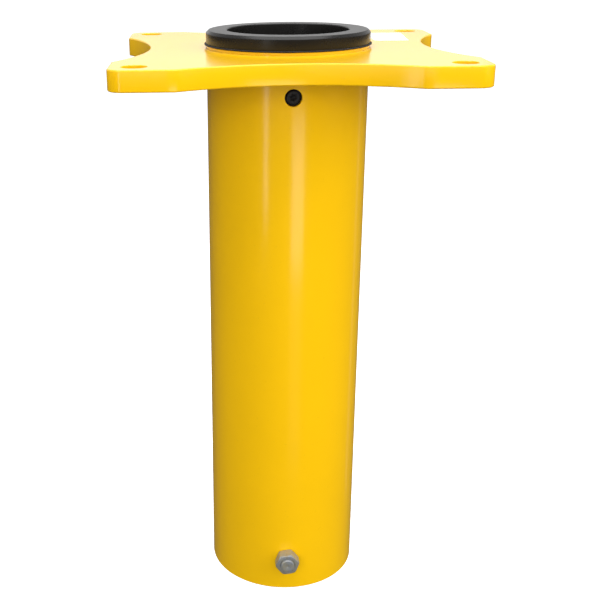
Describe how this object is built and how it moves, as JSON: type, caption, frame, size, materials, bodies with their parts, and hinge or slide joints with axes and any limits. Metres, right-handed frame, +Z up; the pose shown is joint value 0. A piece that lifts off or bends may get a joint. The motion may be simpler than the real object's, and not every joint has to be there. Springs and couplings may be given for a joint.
{
  "type": "retractable bollard",
  "caption": "Retractable steel bollard: flanged in-ground housing tube with a black guide bushing, and a telescoping post with a key-turned lock and a folding lift handle.",
  "frame": {"origin": "centre of the housing tube's bottom rim, on the tube's axis", "axes": "+Z up along the tube, the way the post rises; -Y to the front, where the bushing screw's hole and the stop bolt's nut are"},
  "size_m": [0.346, 0.346, 0.6268],
  "materials": {
    "yellow_powder_coat": "gloss powder coat with a fine orange peel",
    "black_polymer": "turned black polymer, satin",
    "black_rubber": "matt rubber",
    "zinc_steel": "bright zinc plate, slightly dulled",
    "black_oxide_steel": "black oxide, oiled",
    "black_casting": "black powder-coated casting",
    "stainless_steel": "brushed stainless steel",
    "white_nylon": "natural nylon, satin",
    "bearing_bronze": "turned bronze",
    "white_reflective": "retroreflective film"
  },
  "bodies": {
    "housing": {"housing_tube": "yellow_powder_coat", "mounting_plate": "yellow_powder_coat", "plate_weld": "yellow_powder_coat", "guide_bushing": "black_polymer", "bushing_gasket": "black_rubber", "wiper_seal": "black_rubber", "bushing_screw": "black_oxide_steel", "stop_bolt": "zinc_steel", "stop_nut": "zinc_steel", "stop_spacer": "zinc_steel"},
    "post": {"post_tube": "yellow_powder_coat", "reflective_band": "white_reflective", "post_cap": "black_casting", "cap_screws": "stainless_steel", "post_foot": "zinc_steel", "guide_ring": "white_nylon", "guide_ring_screws": "stainless_steel", "foot_buffer": "black_rubber", "buffer_bolt": "zinc_steel", "lock_block": "zinc_steel", "lock_block_screws": "stainless_steel", "cam_cover": "zinc_steel", "cam_cover_screws": "black_oxide_steel", "lower_rod_bearing": "bearing_bronze", "upper_rod_bearing": "bearing_bronze", "handle_pins": "stainless_steel"},
    "lock_spindle": {"lock_rod": "stainless_steel", "lock_cam": "stainless_steel", "rod_circlip": "black_oxide_steel", "key_head": "stainless_steel", "key_pin": "stainless_steel"},
    "lock_bolt_right": {"lock_bolt_right": "stainless_steel", "cam_pin_right": "stainless_steel"},
    "lock_bolt_left": {"lock_bolt_left": "stainless_steel", "cam_pin_left": "stainless_steel"},
    "lift_handle": {"lift_handle": "stainless_steel"}
  },
  "joints": [
    {"name": "post_lift", "type": "slide", "parent": "housing", "child": "post", "axis": [0, 0, 1], "range_m": [0, 0.425]},
    {"name": "key_turn", "type": "hinge", "parent": "post", "child": "lock_spindle", "pos_m": [0, 0, 0.604], "axis": [0, 0, 1], "range_deg": [0, 90]},
    {"name": "lock_bolt_right_throw", "type": "slide", "parent": "post", "child": "lock_bolt_right", "axis": [1, 0, 0], "range_m": [0, 0.0058]},
    {"name": "lock_bolt_left_throw", "type": "slide", "parent": "post", "child": "lock_bolt_left", "axis": [-1, 0, 0], "range_m": [0, 0.0058]},
    {"name": "handle_fold", "type": "hinge", "parent": "post", "child": "lift_handle", "pos_m": [0, -0.014, 0.5995], "axis": [1, 0, 0], "range_deg": [0, 90]}
  ],
  "couplings": [
    {"joint": "lock_bolt_right_throw", "follows": "key_turn", "m_per_rad": 0.003692},
    {"joint": "lock_bolt_left_throw", "follows": "key_turn", "m_per_rad": 0.003692}
  ]
}
